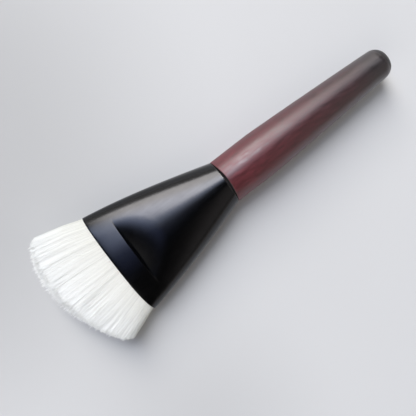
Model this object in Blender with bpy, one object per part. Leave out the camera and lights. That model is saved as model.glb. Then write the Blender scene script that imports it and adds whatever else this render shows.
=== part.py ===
"""Foundation brush: a turned wooden handle, a black metal ferrule pressed from round to a
wide oval, and a dense flat tuft of white hair, with what holds them together inside.

The brush lies flat on a surface, broad face up. +X runs from the handle's tail to the hair,
+Z is up. Sizes are in metres."""

import math
import random

import bmesh
import bpy
from mathutils import Vector
from mathutils.geometry import delaunay_2d_cdt

# Fits
CLEARANCE = 0.0003
SEAT_GAP = 0.0003
MERGE_DISTANCE = 0.00001
SHARP_ANGLE = math.radians(32)

# Handle, turned in one piece with its tenon
HANDLE_LENGTH = 0.0743
BELLY_RADIUS = 0.00876
SHOULDER_RADIUS = 0.0087
SHOULDER_EDGE = 0.0003
SHOULDER_EDGE_STEPS = 2
BELLY_LENGTH = 0.0165
TAIL_RADIUS = 0.0059
TAIL_DOME_LENGTH = 0.0046
TAIL_FLAT_RADIUS = 0.0021
TAIL_DOME_STEPS = 6
HANDLE_TAPER_POWER = 1.12
GRIP_STATION_SHARES = (0.8, 0.6, 0.4, 0.25, 0.12, 0)
TENON_CHAMFER = 0.0008
GLUE_GROOVE_DEPTH = 0.0009
GLUE_GROOVE_WIDTH = 0.0019
GLUE_GROOVE_SHARES = (0.14, 0.52)
HANDLE_SIDES = 36

# Ferrule: a thin shell, round where it meets the handle and a wide oval at the hair
FERRULE_LENGTH = 0.0484
FERRULE_WALL = 0.0005
MOUTH_HALF_WIDTH = 0.0209
MOUTH_HALF_HEIGHT = 0.0073
MOUTH_SQUARENESS = 2.2
REAR_SQUARENESS = 2.0
RIM_EDGE = 0.0003
WIDTH_TAPER_SHARES = (0.65, 0.5)
HEIGHT_TAPER_POWER = 1.5
PRESS_SETBACK = 0.0079
PRESS_DEPTH = 0.0012
PRESS_REACH = 0.0116
PRESS_STEP_LENGTH = 0.0007
PRESS_SOFTNESS = 0.0004
STATION_SPACING = 0.0032
FERRULE_SIDES = 56

# Hair: a bundle glued in the ferrule, with strands that fan out of its front face
HAIR_RECESS = 0.0006
HAIR_LENGTH = 0.0262
HAIR_SKEW_SHARE = 0.145
SIDE_SHORTENING_SHARE = 0.44
SIDE_ROUNDING_POWER = 2.7
FACE_SHORTENING_SHARE = 0.28
FACE_ROUNDING_POWER = 2.2
SIDE_FAN_DISTANCE = 0.054
FACE_FAN_DISTANCE = 0.046
HAIR_SWEEP = 0.0012
STRAND_PITCH = 0.00106
STRAND_GAP = 0.00018
STRAND_MARGIN = 0.00012
STRAND_STAGGER_SHARE = 0.5
STRAND_BELLY_SHARE = 0.78
STRAND_LENGTH_SPREAD_SHARE = 0.035
STRAND_SEED = 7
BUNDLE_DEPTH = 0.0115

# Binding thread, wound round the neck of the bundle
THREAD_DIAMETER = 0.0008
THREAD_GAP = 0.0005
THREAD_TURNS = 5
THREAD_POINTS_PER_TURN = 24
THREAD_CLEARANCE = 0.0004

# Adhesive that seals the hair's root, and adhesive collar that holds the tenon
ROOT_PLUG_LENGTH = 0.0057
COLLAR_THICKNESS = 0.0008
AIR_SPACE = 0.0034

# Insets of what lies inside the ferrule, from its outer surface
BUNDLE_INSET = FERRULE_WALL + CLEARANCE
THREAD_INSET = BUNDLE_INSET + THREAD_DIAMETER / 2
NECK_INSET = BUNDLE_INSET + THREAD_DIAMETER + THREAD_CLEARANCE
TENON_INSET = BUNDLE_INSET + COLLAR_THICKNESS + CLEARANCE

# Setbacks behind the ferrule's lip, and places along the axis from the handle's shoulder
THREAD_PITCH = THREAD_DIAMETER + THREAD_GAP
NECK_LENGTH = THREAD_TURNS * THREAD_PITCH + THREAD_DIAMETER + 2 * THREAD_CLEARANCE
BUNDLE_END = BUNDLE_DEPTH + NECK_LENGTH
PLUG_START = BUNDLE_END + CLEARANCE
PLUG_END = PLUG_START + ROOT_PLUG_LENGTH
TENON_END = PLUG_END + AIR_SPACE
LIP = SEAT_GAP + FERRULE_LENGTH
TENON_LENGTH = LIP - TENON_END


def clear_scene():
    for old in list(bpy.data.objects):
        bpy.data.objects.remove(old, do_unlink=True)


def material(name, color, roughness, metallic):
    made = bpy.data.materials.new(name)
    made.use_nodes = True
    shader = made.node_tree.nodes["Principled BSDF"]
    shader.inputs["Base Color"].default_value = (*color, 1.0)
    shader.inputs["Roughness"].default_value = roughness
    shader.inputs["Metallic"].default_value = metallic
    return made


def lacquered_wood():
    return material("lacquered_wood", (0.085, 0.022, 0.028), 0.34, 0.0)


def black_metal():
    return material("black_metal", (0.012, 0.012, 0.016), 0.24, 0.0)


def white_hair():
    return material("white_hair", (0.88, 0.88, 0.84), 0.6, 0.0)


def waxed_thread():
    return material("waxed_thread", (0.72, 0.66, 0.52), 0.55, 0.0)


def clear_adhesive():
    return material("clear_adhesive", (0.75, 0.66, 0.42), 0.2, 0.0)


def add_object(name, data, finish, parent):
    data.materials.append(finish)
    piece = bpy.data.objects.new(name, data)
    bpy.context.scene.collection.objects.link(piece)
    piece.parent = parent
    return piece


def add_mesh(name, bm, finish, parent):
    bmesh.ops.recalc_face_normals(bm, faces=bm.faces)
    mesh = bpy.data.meshes.new(name)
    bm.to_mesh(mesh)
    bm.free()
    mesh.shade_smooth()
    mesh.set_sharp_from_angle(angle=SHARP_ANGLE)
    return add_object(name, mesh, finish, parent)


def lerp(low, high, share):
    return low + (high - low) * share


def signed_power(value, power):
    return math.copysign(abs(value) ** power, value)


def smooth_min(first, second, softness):
    """The lower of two heights, rounded over where they cross."""
    overlap = max(softness - abs(first - second), 0) / softness
    return min(first, second) - overlap * overlap * softness / 4


# The ferrule's form. A setback is the distance behind its lip, and an inset the distance
# inside its outer surface.
def rear_share(setback):
    return setback / FERRULE_LENGTH


def half_width(setback):
    linear, square = WIDTH_TAPER_SHARES
    share = rear_share(setback)
    drop = linear * share + square * share ** 2 + (1 - linear - square) * share ** 3
    return lerp(MOUTH_HALF_WIDTH, SHOULDER_RADIUS, drop)


def half_height(setback):
    return lerp(MOUTH_HALF_HEIGHT, SHOULDER_RADIUS, rear_share(setback) ** HEIGHT_TAPER_POWER)


def squareness(setback):
    return lerp(MOUTH_SQUARENESS, REAR_SQUARENESS, rear_share(setback))


def press_shift(inset):
    """Inner walls keep their thickness along the step by moving it toward the lip."""
    return inset / 2


def press_plane(setback):
    """Height of the pressed flat, deepest at its front edge and running out at its rear."""
    front = half_height(PRESS_SETBACK) - PRESS_DEPTH
    rear = half_height(PRESS_SETBACK + PRESS_REACH)
    return lerp(front, rear, (setback - PRESS_SETBACK) / PRESS_REACH)


def press_height(setback, inset):
    """Greatest height of the wall at a setback, which drops over the step to the flat."""
    place = setback + press_shift(inset)
    crest = half_height(setback) + PRESS_SOFTNESS
    into_step = (place - PRESS_SETBACK) / PRESS_STEP_LENGTH + 1
    share = min(max(into_step, 0), 1)
    return lerp(crest, press_plane(place), share) - inset


def wall_point(setback, inset, angle):
    power = 2 / squareness(setback)
    y = (half_width(setback) - inset) * signed_power(math.cos(angle), power)
    z = (half_height(setback) - inset) * signed_power(math.sin(angle), power)
    height = smooth_min(abs(z), press_height(setback, inset), PRESS_SOFTNESS)
    return y, math.copysign(height, z)


def ring_turns():
    return [2 * math.pi * side / FERRULE_SIDES for side in range(FERRULE_SIDES)]


def section(setback, inset):
    """Ring of points round the axis, in the plane at a setback."""
    place = LIP - setback
    return [Vector((place, *wall_point(setback, inset, turn))) for turn in ring_turns()]


def stations(start, end, inset):
    """Setbacks from start to end, closer where the step lies."""
    step_end = PRESS_SETBACK - press_shift(inset)
    step_start = step_end - PRESS_STEP_LENGTH
    marks = [start] + [mark for mark in (step_start, step_end) if start < mark < end] + [end]
    places = []
    for low, high in zip(marks, marks[1:]):
        count = max(math.ceil((high - low) / STATION_SPACING), 1)
        places += [lerp(low, high, index / count) for index in range(count)]
    return places + [end]


def sections(start, end, inset):
    return [section(place, inset) for place in stations(start, end, inset)]


def skin(bm, rings, closed=False):
    """Quads between neighbouring rings, and round to the first ring where it is closed."""
    rows = [[bm.verts.new(point) for point in ring] for ring in rings]
    pairs = list(zip(rows, rows[1:]))
    if closed:
        pairs.append((rows[-1], rows[0]))
    for near, far in pairs:
        for side in range(len(near)):
            after = (side + 1) % len(near)
            bm.faces.new((near[side], near[after], far[after], far[side]))
    return rows


# Handle
def tenon_radius(place):
    shoulder = SHOULDER_RADIUS - TENON_INSET
    tip = half_height(TENON_END) - TENON_INSET
    return lerp(shoulder, tip, place / TENON_LENGTH)


def tenon_outline(clearance, length):
    """Tenon's turned outline with its glue grooves, or the bore that fits round it."""
    points = [(0, tenon_radius(0) + clearance)]
    for share in GLUE_GROOVE_SHARES:
        start = TENON_LENGTH * share
        end = start + GLUE_GROOVE_WIDTH
        near = start + clearance
        far = end - clearance
        floor = clearance - GLUE_GROOVE_DEPTH
        points.append((near, tenon_radius(near) + clearance))
        points.append((near, tenon_radius(near) + floor))
        points.append((far, tenon_radius(far) + floor))
        points.append((far, tenon_radius(far) + clearance))
    points.append((length, tenon_radius(length) + clearance))
    return points


def handle_outline():
    """Turned outline from the centre of the tail, along the grip and tenon, to the axis."""
    dome_start = TAIL_DOME_LENGTH - HANDLE_LENGTH
    points = [(-HANDLE_LENGTH, 0)]
    for step in range(TAIL_DOME_STEPS + 1):
        turn = math.pi / 2 * step / TAIL_DOME_STEPS
        radius = lerp(TAIL_FLAT_RADIUS, TAIL_RADIUS, math.sin(turn))
        points.append((dome_start - TAIL_DOME_LENGTH * math.cos(turn), radius))
    for share in GRIP_STATION_SHARES:
        radius = lerp(BELLY_RADIUS, TAIL_RADIUS, share ** HANDLE_TAPER_POWER)
        points.append((lerp(-BELLY_LENGTH, dome_start, share), radius))
    for step in range(SHOULDER_EDGE_STEPS + 1):
        turn = math.pi / 2 * step / SHOULDER_EDGE_STEPS
        radius = SHOULDER_RADIUS - SHOULDER_EDGE * (1 - math.cos(turn))
        points.append((SHOULDER_EDGE * (math.sin(turn) - 1), radius))
    tenon_end = TENON_LENGTH - TENON_CHAMFER
    points += tenon_outline(0, tenon_end)
    points.append((TENON_LENGTH, tenon_radius(tenon_end) - TENON_CHAMFER))
    points.append((TENON_LENGTH, 0))
    return points


def make_handle(parent):
    bm = bmesh.new()
    points = [bm.verts.new((x, 0, -radius)) for x, radius in handle_outline()]
    edges = [bm.edges.new(pair) for pair in zip(points, points[1:])]
    bmesh.ops.spin(bm, geom=points + edges, cent=(0, 0, 0), axis=(1, 0, 0),
                   angle=2 * math.pi, steps=HANDLE_SIDES)
    bmesh.ops.remove_doubles(bm, verts=bm.verts, dist=MERGE_DISTANCE)
    return add_mesh("handle", bm, lacquered_wood(), parent)


# Ferrule
def make_ferrule(parent):
    rear_edge = FERRULE_LENGTH - RIM_EDGE
    outer = [section(0, RIM_EDGE / 2)]
    outer += sections(RIM_EDGE, rear_edge, 0)
    outer.append(section(FERRULE_LENGTH, RIM_EDGE / 2))
    inner = sections(0, FERRULE_LENGTH, FERRULE_WALL)
    bm = bmesh.new()
    skin(bm, outer + inner[::-1], closed=True)
    return add_mesh("ferrule", bm, black_metal(), parent)


# Hair tuft
def strand_radius(reach):
    """Strands thicken as they fan out, so that the gap between them stays the same."""
    fan = 1 + reach / max(SIDE_FAN_DISTANCE, FACE_FAN_DISTANCE)
    return (STRAND_PITCH * fan - STRAND_GAP) / 2


def strand_roots():
    """Centres of the strands on the bundle's front face, in staggered rows."""
    margin = BUNDLE_INSET + strand_radius(0) + STRAND_MARGIN
    width = half_width(HAIR_RECESS) - margin
    height = half_height(HAIR_RECESS) - margin
    power = squareness(HAIR_RECESS)
    row_pitch = STRAND_PITCH * math.sqrt(3) / 2
    rows = math.floor(height / row_pitch)
    roots = []
    for row in range(-rows, rows + 1):
        z = row * row_pitch
        reach = width * (1 - abs(z / height) ** power) ** (1 / power)
        stagger = STRAND_STAGGER_SHARE * (row % 2)
        columns = math.ceil(reach / STRAND_PITCH)
        for column in range(-columns - 1, columns + 1):
            y = (column + stagger) * STRAND_PITCH
            if abs(y) <= reach:
                roots.append((y, z, y / width, z / height))
    return roots


def strand_reach(side_share, face_share):
    """Length of a strand beyond the lip, from its place in the mouth."""
    length = HAIR_LENGTH * (1 - HAIR_SKEW_SHARE * side_share)
    length *= 1 - SIDE_SHORTENING_SHARE * abs(side_share) ** SIDE_ROUNDING_POWER
    return length * (1 - FACE_SHORTENING_SHARE * abs(face_share) ** FACE_ROUNDING_POWER)


def strand_centre(y, z, reach):
    """Where a strand is at a reach beyond its root: the tuft fans out and sweeps sideways."""
    sweep = HAIR_SWEEP * (reach / HAIR_LENGTH) ** 2
    side = y * (1 + reach / SIDE_FAN_DISTANCE) - sweep
    face = z * (1 + reach / FACE_FAN_DISTANCE)
    return Vector((LIP - HAIR_RECESS + reach, side, face))


def triangle(centre, radius, turn):
    corners = []
    for corner in range(3):
        angle = turn + 2 * math.pi * corner / 3
        offset = Vector((0, radius * math.cos(angle), radius * math.sin(angle)))
        corners.append(centre + offset)
    return corners


def strands():
    """Each strand's root triangle, belly triangle and tip."""
    draw = random.Random(STRAND_SEED)
    made = []
    for y, z, side_share, face_share in strand_roots():
        turn = draw.uniform(0, 2 * math.pi)
        spread = draw.uniform(-STRAND_LENGTH_SPREAD_SHARE, STRAND_LENGTH_SPREAD_SHARE)
        reach = HAIR_RECESS + strand_reach(side_share, face_share) * (1 + spread)
        belly_reach = reach * STRAND_BELLY_SHARE
        root = triangle(strand_centre(y, z, 0), strand_radius(0), turn)
        belly = triangle(strand_centre(y, z, belly_reach), strand_radius(belly_reach), turn)
        made.append((root, belly, strand_centre(y, z, reach)))
    return made


def fill_front(bm, rim, roots):
    """Faces of the bundle's front between its rim and the roots of the strands."""
    corners = rim + [vert for root in roots for vert in root]
    flat = [vert.co.yz for vert in corners]
    outlines = [list(range(len(rim)))]
    for index in range(len(rim), len(corners), 3):
        outlines.append([index, index + 1, index + 2])
    found = delaunay_2d_cdt(flat, [], outlines, 1, MERGE_DISTANCE)
    faces, sources, origins = found[2], found[3], found[5]
    for face, origin in zip(faces, origins):
        if max(origin) == 0:
            bm.faces.new([corners[sources[corner][0]] for corner in face])


def make_hair_tuft(parent, strand_table):
    neck = sections(BUNDLE_DEPTH, BUNDLE_END, NECK_INSET)
    bundle = sections(HAIR_RECESS, BUNDLE_DEPTH, BUNDLE_INSET)
    bm = bmesh.new()
    rows = skin(bm, neck[::-1] + bundle[::-1])
    bm.faces.new(rows[0][::-1])
    roots = []
    for root, belly, tip in strand_table:
        low = [bm.verts.new(point) for point in root]
        high = [bm.verts.new(point) for point in belly]
        end = bm.verts.new(tip)
        for side in range(3):
            after = (side + 1) % 3
            bm.faces.new((low[side], low[after], high[after], high[side]))
            bm.faces.new((high[side], high[after], end))
        roots.append(low)
    fill_front(bm, rows[-1], roots)
    return add_mesh("hair_tuft", bm, white_hair(), parent)


# Binding thread
def thread_route():
    start = BUNDLE_DEPTH + THREAD_CLEARANCE + THREAD_DIAMETER / 2
    points = []
    for index in range(THREAD_TURNS * THREAD_POINTS_PER_TURN + 1):
        turn = index / THREAD_POINTS_PER_TURN
        setback = start + THREAD_PITCH * turn
        y, z = wall_point(setback, THREAD_INSET, 2 * math.pi * turn)
        points.append(Vector((LIP - setback, y, z)))
    return points


def least_gap(points):
    """Least clear distance between turns of the thread, measured on its points."""
    apart = THREAD_POINTS_PER_TURN // 2
    gaps = [(points[first] - points[second]).length
            for first in range(len(points))
            for second in range(first + apart, len(points))]
    return min(gaps) - THREAD_DIAMETER


def make_binding_thread(parent):
    route = thread_route()
    print("binding thread, least gap to itself in mm:", round(least_gap(route) * 1000, 3))
    curve = bpy.data.curves.new("binding_thread", "CURVE")
    curve.dimensions = "3D"
    curve.bevel_depth = THREAD_DIAMETER / 2
    curve.bevel_resolution = 1
    curve.use_fill_caps = True
    spline = curve.splines.new("POLY")
    spline.points.add(len(route) - 1)
    for knot, point in zip(spline.points, route):
        knot.co = (*point, 1)
    return add_object("binding_thread", curve, waxed_thread(), parent)


# Adhesives
def make_root_adhesive(parent):
    bm = bmesh.new()
    rows = skin(bm, sections(PLUG_START, PLUG_END, BUNDLE_INSET))
    bm.faces.new(rows[0])
    bm.faces.new(rows[-1][::-1])
    return add_mesh("root_adhesive", bm, clear_adhesive(), parent)


def bore_ring(place, radius):
    return [Vector((place, radius * math.cos(turn), radius * math.sin(turn)))
            for turn in ring_turns()]


def make_handle_adhesive(parent):
    """Collar between tenon and ferrule, keyed into the tenon's glue grooves."""
    end = TENON_LENGTH - TENON_CHAMFER
    outer = sections(LIP - end, FERRULE_LENGTH, BUNDLE_INSET)
    bore = tenon_outline(CLEARANCE, end)
    bore[0] = (SEAT_GAP, tenon_radius(SEAT_GAP) + CLEARANCE)
    inner = [bore_ring(place, radius) for place, radius in bore]
    bm = bmesh.new()
    skin(bm, outer + inner, closed=True)
    return add_mesh("handle_adhesive", bm, clear_adhesive(), parent)


def brush_frame(strand_table):
    """Empty on the brush's axis at the shoulder, set so that the brush lies on z = 0 with
    the middle of its box at the origin."""
    points = [point for root, belly, tip in strand_table for point in belly + [tip]]
    sides = [point.y for point in points]
    middle = (max(point.x for point in points) - HANDLE_LENGTH) / 2
    lowest = min(point.z for point in points)
    height = max(BELLY_RADIUS, SHOULDER_RADIUS, MOUTH_HALF_HEIGHT, -lowest)
    frame = bpy.data.objects.new("brush_frame", None)
    bpy.context.scene.collection.objects.link(frame)
    frame.location = (-middle, -(min(sides) + max(sides)) / 2, height)
    return frame


def main():
    clear_scene()
    strand_table = strands()
    frame = brush_frame(strand_table)
    make_handle(frame)
    make_ferrule(frame)
    make_hair_tuft(frame, strand_table)
    make_binding_thread(frame)
    make_root_adhesive(frame)
    make_handle_adhesive(frame)


main()
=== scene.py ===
"""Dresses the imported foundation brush: a turned handle in maroon lacquer, a black pressed
ferrule, a fan of white hair, what holds them together inside, and the floor they lie on.

Laid out as an add-on whose operators make one group of pieces each. Sizes are in metres."""

import math

import bpy
import numpy as np
from bpy.props import FloatProperty, FloatVectorProperty, IntProperty, PointerProperty
from mathutils import Matrix, Vector
from mathutils.kdtree import KDTree


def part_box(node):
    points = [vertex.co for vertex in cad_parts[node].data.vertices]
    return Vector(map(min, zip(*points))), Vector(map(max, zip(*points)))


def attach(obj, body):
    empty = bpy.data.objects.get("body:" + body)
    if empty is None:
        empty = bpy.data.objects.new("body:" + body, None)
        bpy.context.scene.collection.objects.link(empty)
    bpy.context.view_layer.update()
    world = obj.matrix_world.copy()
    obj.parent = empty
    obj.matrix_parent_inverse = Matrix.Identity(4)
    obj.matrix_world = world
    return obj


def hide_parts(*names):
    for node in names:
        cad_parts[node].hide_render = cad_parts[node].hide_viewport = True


bl_info = {
    "name": "Foundation brush",
    "version": (1, 0, 0),
    "blender": (4, 5, 0),
    "location": "3D View > Sidebar > Brush",
    "description": "Models the handle, ferrule, hair and inner pieces of a foundation brush",
    "category": "Object",
}

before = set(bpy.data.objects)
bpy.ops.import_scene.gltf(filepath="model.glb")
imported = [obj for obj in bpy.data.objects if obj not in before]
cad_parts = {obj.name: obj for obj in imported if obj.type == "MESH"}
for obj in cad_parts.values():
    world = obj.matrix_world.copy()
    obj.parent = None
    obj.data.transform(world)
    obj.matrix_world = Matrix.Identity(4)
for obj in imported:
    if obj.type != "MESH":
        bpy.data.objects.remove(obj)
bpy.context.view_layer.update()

# Places that the frame gives
HANDLE_LOW, HANDLE_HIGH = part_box("handle")
FERRULE_LOW, FERRULE_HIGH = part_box("ferrule")
THREAD_LOW, THREAD_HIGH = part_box("binding_thread")
AXIS_Y = (FERRULE_LOW.y + FERRULE_HIGH.y) / 2
AXIS_Z = (FERRULE_LOW.z + FERRULE_HIGH.z) / 2
TAIL = HANDLE_LOW.x
RIM = FERRULE_LOW.x
LIP = FERRULE_HIGH.x
FERRULE_LENGTH = LIP - RIM
MOUTH_HALF_WIDTH = (FERRULE_HIGH.y - FERRULE_LOW.y) / 2
RIM_RADIUS = (FERRULE_HIGH.z - FERRULE_LOW.z) / 2
BELLY_RADIUS = (HANDLE_HIGH.z - HANDLE_LOW.z) / 2
TENON_END = HANDLE_HIGH.x

ROOT_BODY = "root"
MERGE_DISTANCE = 0.000002
SHARP_ANGLE = math.radians(35)


class HandleSettings(bpy.types.PropertyGroup):
    seat_gap: FloatProperty(
        name="Seat gap", description="Gap between shoulder and ferrule underneath",
        default=0.0002, unit="LENGTH")
    gap_rise: FloatProperty(
        name="Gap rise", description="How much wider the gap is on top",
        default=0.0009, unit="LENGTH")
    tail_radius: FloatProperty(
        name="Tail radius", description="Radius where the tail's dome starts",
        default=0.0059, unit="LENGTH")
    dome_length: FloatProperty(
        name="Dome length", description="Length of the rounded tail",
        default=0.0046, unit="LENGTH")
    flat_radius: FloatProperty(
        name="Flat radius", description="Radius of the sanded flat on the tail",
        default=0.0021, unit="LENGTH")
    belly_length: FloatProperty(
        name="Belly length", description="Length beside the ferrule that hardly thins",
        default=0.0165, unit="LENGTH")
    # Painted shade: the tail's end is painted black over this length
    cap_length: FloatProperty(
        name="Cap length", description="Length of the black sealed end of the tail",
        default=0.0026, unit="LENGTH")
    taper_power: FloatProperty(
        name="Taper power", description="How soon the grip thins toward the tail",
        default=1.12)
    shoulder_edge: FloatProperty(
        name="Shoulder edge", description="Radius of the rounded edge at the ferrule",
        default=0.0002, unit="LENGTH")
    tenon_radius: FloatProperty(
        name="Tenon radius", description="Radius of the tenon at the shoulder of the grip",
        default=0.0068, unit="LENGTH")
    tenon_tip_radius: FloatProperty(
        name="Tenon tip radius", description="Radius of the tenon at its end",
        default=0.00624, unit="LENGTH")
    groove_depth: FloatProperty(
        name="Groove depth", description="Depth of the glue grooves in the tenon",
        default=0.0009, unit="LENGTH")
    groove_width: FloatProperty(
        name="Groove width", description="Width of the glue grooves in the tenon",
        default=0.0019, unit="LENGTH")
    sides: IntProperty(
        name="Sides", description="Steps of the turned surface", default=128, min=16)
    grip_colour: FloatVectorProperty(
        name="Grip colour", description="Maroon lacquer beside the ferrule",
        default=(0.096, 0.010, 0.015), size=3, subtype="COLOR")
    middle_colour: FloatVectorProperty(
        name="Middle colour", description="Lacquer half way along the grip",
        default=(0.053, 0.009, 0.012), size=3, subtype="COLOR")
    tail_colour: FloatVectorProperty(
        name="Tail colour", description="Nearly black lacquer of the tail",
        default=(0.015, 0.011, 0.012), size=3, subtype="COLOR")
    # Painted shade: black on the tail's end and in the gap at the shoulder
    painted_shade_colour: FloatVectorProperty(
        name="Cap colour", description="Black of the tail's very end",
        default=(0.004, 0.003, 0.003), size=3, subtype="COLOR")
    shine_colour: FloatVectorProperty(
        name="Shine colour", description="Tint of what the lacquer reflects",
        default=(1.0, 0.92, 0.94), size=3, subtype="COLOR")


class FerruleSettings(bpy.types.PropertyGroup):
    wall: FloatProperty(
        name="Wall", description="Thickness of the metal", default=0.0005, unit="LENGTH")
    mouth_half_height: FloatProperty(
        name="Mouth half height", description="Half the height of the mouth's oval",
        default=0.0074, unit="LENGTH")
    mouth_squareness: FloatProperty(
        name="Mouth squareness", description="Power of the mouth's oval", default=2.15)
    rim_squareness: FloatProperty(
        name="Rim squareness", description="Power of the rear rim's round", default=2.0)
    taper_start_share: FloatProperty(
        name="Taper start share", description="Rate at which the width drops at the mouth",
        default=0.65)
    taper_curve_share: FloatProperty(
        name="Taper curve share", description="How the drop in width gathers rearward",
        default=0.5)
    height_power: FloatProperty(
        name="Height power", description="How the height grows rearward", default=0.6)
    press_setback: FloatProperty(
        name="Press setback", description="Distance from the lip to the pressed crease",
        default=0.0084, unit="LENGTH")
    press_depth: FloatProperty(
        name="Press depth", description="Depth of the pressed flat at its crease",
        default=0.00155, unit="LENGTH")
    press_reach: FloatProperty(
        name="Press reach", description="Length over which the pressed flat runs out",
        default=0.0065, unit="LENGTH")
    press_step: FloatProperty(
        name="Press step", description="Length of the step down to the flat",
        default=0.0004, unit="LENGTH")
    crease_share: FloatProperty(
        name="Crease share", description="Share of the width at which the crease runs out",
        default=0.78)
    press_softness: FloatProperty(
        name="Press softness", description="Rounding of the pressed flat's border",
        default=0.0016, unit="LENGTH")
    lip_cutback: FloatProperty(
        name="Lip cutback", description="How far one end of the lip lies behind the other",
        default=0.0009, unit="LENGTH")
    edge_radius: FloatProperty(
        name="Edge radius", description="Rounding of the lip and the rear rim",
        default=0.00018, unit="LENGTH")
    sides: IntProperty(
        name="Sides", description="Columns round the shell", default=144, min=24)
    rows: IntProperty(
        name="Rows", description="Rows along the shell", default=150, min=20)
    colour: FloatVectorProperty(
        name="Colour", description="Black lacquer on the metal",
        default=(0.040, 0.040, 0.042), size=3, subtype="COLOR")
    bare_colour: FloatVectorProperty(
        name="Bare colour", description="Metal that shows along the worn rear rim",
        default=(0.17, 0.17, 0.16), size=3, subtype="COLOR")


class HairSettings(bpy.types.PropertyGroup):
    layers: IntProperty(
        name="Layers", description="Pieces that the strands are shared out over", default=6)
    count: IntProperty(
        name="Count", description="Number of strands", default=60000, min=100)
    strand_radius: FloatProperty(
        name="Strand radius", description="Radius of a strand at its root",
        default=0.000058, unit="LENGTH")
    recess: FloatProperty(
        name="Recess", description="Depth of the strands' roots behind the lip",
        default=0.0016, unit="LENGTH")
    inset: FloatProperty(
        name="Inset", description="Distance from the ferrule's outside to the outermost strand",
        default=0.00068, unit="LENGTH")
    length: FloatProperty(
        name="Length", description="Reach of the middle strands beyond the lip",
        default=0.0235, unit="LENGTH")
    skew_share: FloatProperty(
        name="Skew share", description="How much longer one side of the hair is",
        default=0.20)
    side_share: FloatProperty(
        name="Side share", description="Share by which the outermost strands are shorter",
        default=0.385)
    side_power: FloatProperty(
        name="Side power", description="Rounding of the tip seen from above", default=1.95)
    face_share: FloatProperty(
        name="Face share", description="Share by which the strands of the faces are shorter",
        default=0.15)
    face_skew: FloatProperty(
        name="Face skew", description="How much longer the upper strands are, as a share",
        default=0.02)
    face_power: FloatProperty(
        name="Face power", description="Rounding of the tip seen from the side", default=2.2)
    side_fan: FloatProperty(
        name="Side fan", description="Distance over which the width would double",
        default=0.072, unit="LENGTH")
    side_swell: FloatProperty(
        name="Side swell", description="How far the tuft's sides bulge halfway, as a share",
        default=0.035)
    face_fan: FloatProperty(
        name="Face fan", description="Distance over which the thickness would double",
        default=0.30, unit="LENGTH")
    tip_squareness: FloatProperty(
        name="Tip squareness", description="Power of the tuft's oval at the tips", default=2.5)
    shell_share: FloatProperty(
        name="Shell share", description="Share of the strands that lie in the outermost layer",
        default=0.55)
    shell_start: FloatProperty(
        name="Shell start", description="Where the outermost layer starts, as a share of the oval",
        default=0.90)
    turn_share: FloatProperty(
        name="Turn share", description="How far strands' flat sides turn to the tuft's middle",
        default=0.3)
    stray_share: FloatProperty(
        name="Stray share", description="Share of the strands that stray", default=0.012)
    lock_count: IntProperty(
        name="Lock count", description="Number of locks that the strands gather in",
        default=3600, min=10)
    core_share: FloatProperty(
        name="Core share", description="Share of the tuft's section that its solid heart fills",
        default=0.92)
    core_reach_share: FloatProperty(
        name="Core reach share", description="Share of the strands' reach that the heart fills",
        default=0.96)
    seed: IntProperty(name="Seed", description="Seed of the strands' scatter", default=11)
    root_colour: FloatVectorProperty(
        name="Root colour", description="Creamy white near the ferrule",
        default=(0.850, 0.846, 0.775), size=3, subtype="COLOR")
    tip_colour: FloatVectorProperty(
        name="Tip colour", description="Cool white of the tips",
        default=(0.932, 0.942, 0.920), size=3, subtype="COLOR")


class ThreadSettings(bpy.types.PropertyGroup):
    diameter: FloatProperty(
        name="Diameter", description="Diameter of the waxed thread",
        default=0.0008, unit="LENGTH")
    turns: IntProperty(name="Turns", description="Turns round the bundle", default=5, min=1)
    points_per_turn: IntProperty(
        name="Points per turn", description="Points of the route in one turn",
        default=160, min=12)
    twists_per_turn: IntProperty(
        name="Twists per turn", description="Twists of the two plies in one turn",
        default=34, min=1)
    colour: FloatVectorProperty(
        name="Colour", description="Waxed linen", default=(0.60, 0.52, 0.37), size=3,
        subtype="COLOR")


class AdhesiveSettings(bpy.types.PropertyGroup):
    root_colour: FloatVectorProperty(
        name="Root colour", description="Amber adhesive that seals the root of the hair",
        default=(0.62, 0.50, 0.27), size=3, subtype="COLOR")
    handle_colour: FloatVectorProperty(
        name="Handle colour", description="Milky adhesive round the tenon",
        default=(0.72, 0.66, 0.50), size=3, subtype="COLOR")


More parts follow.
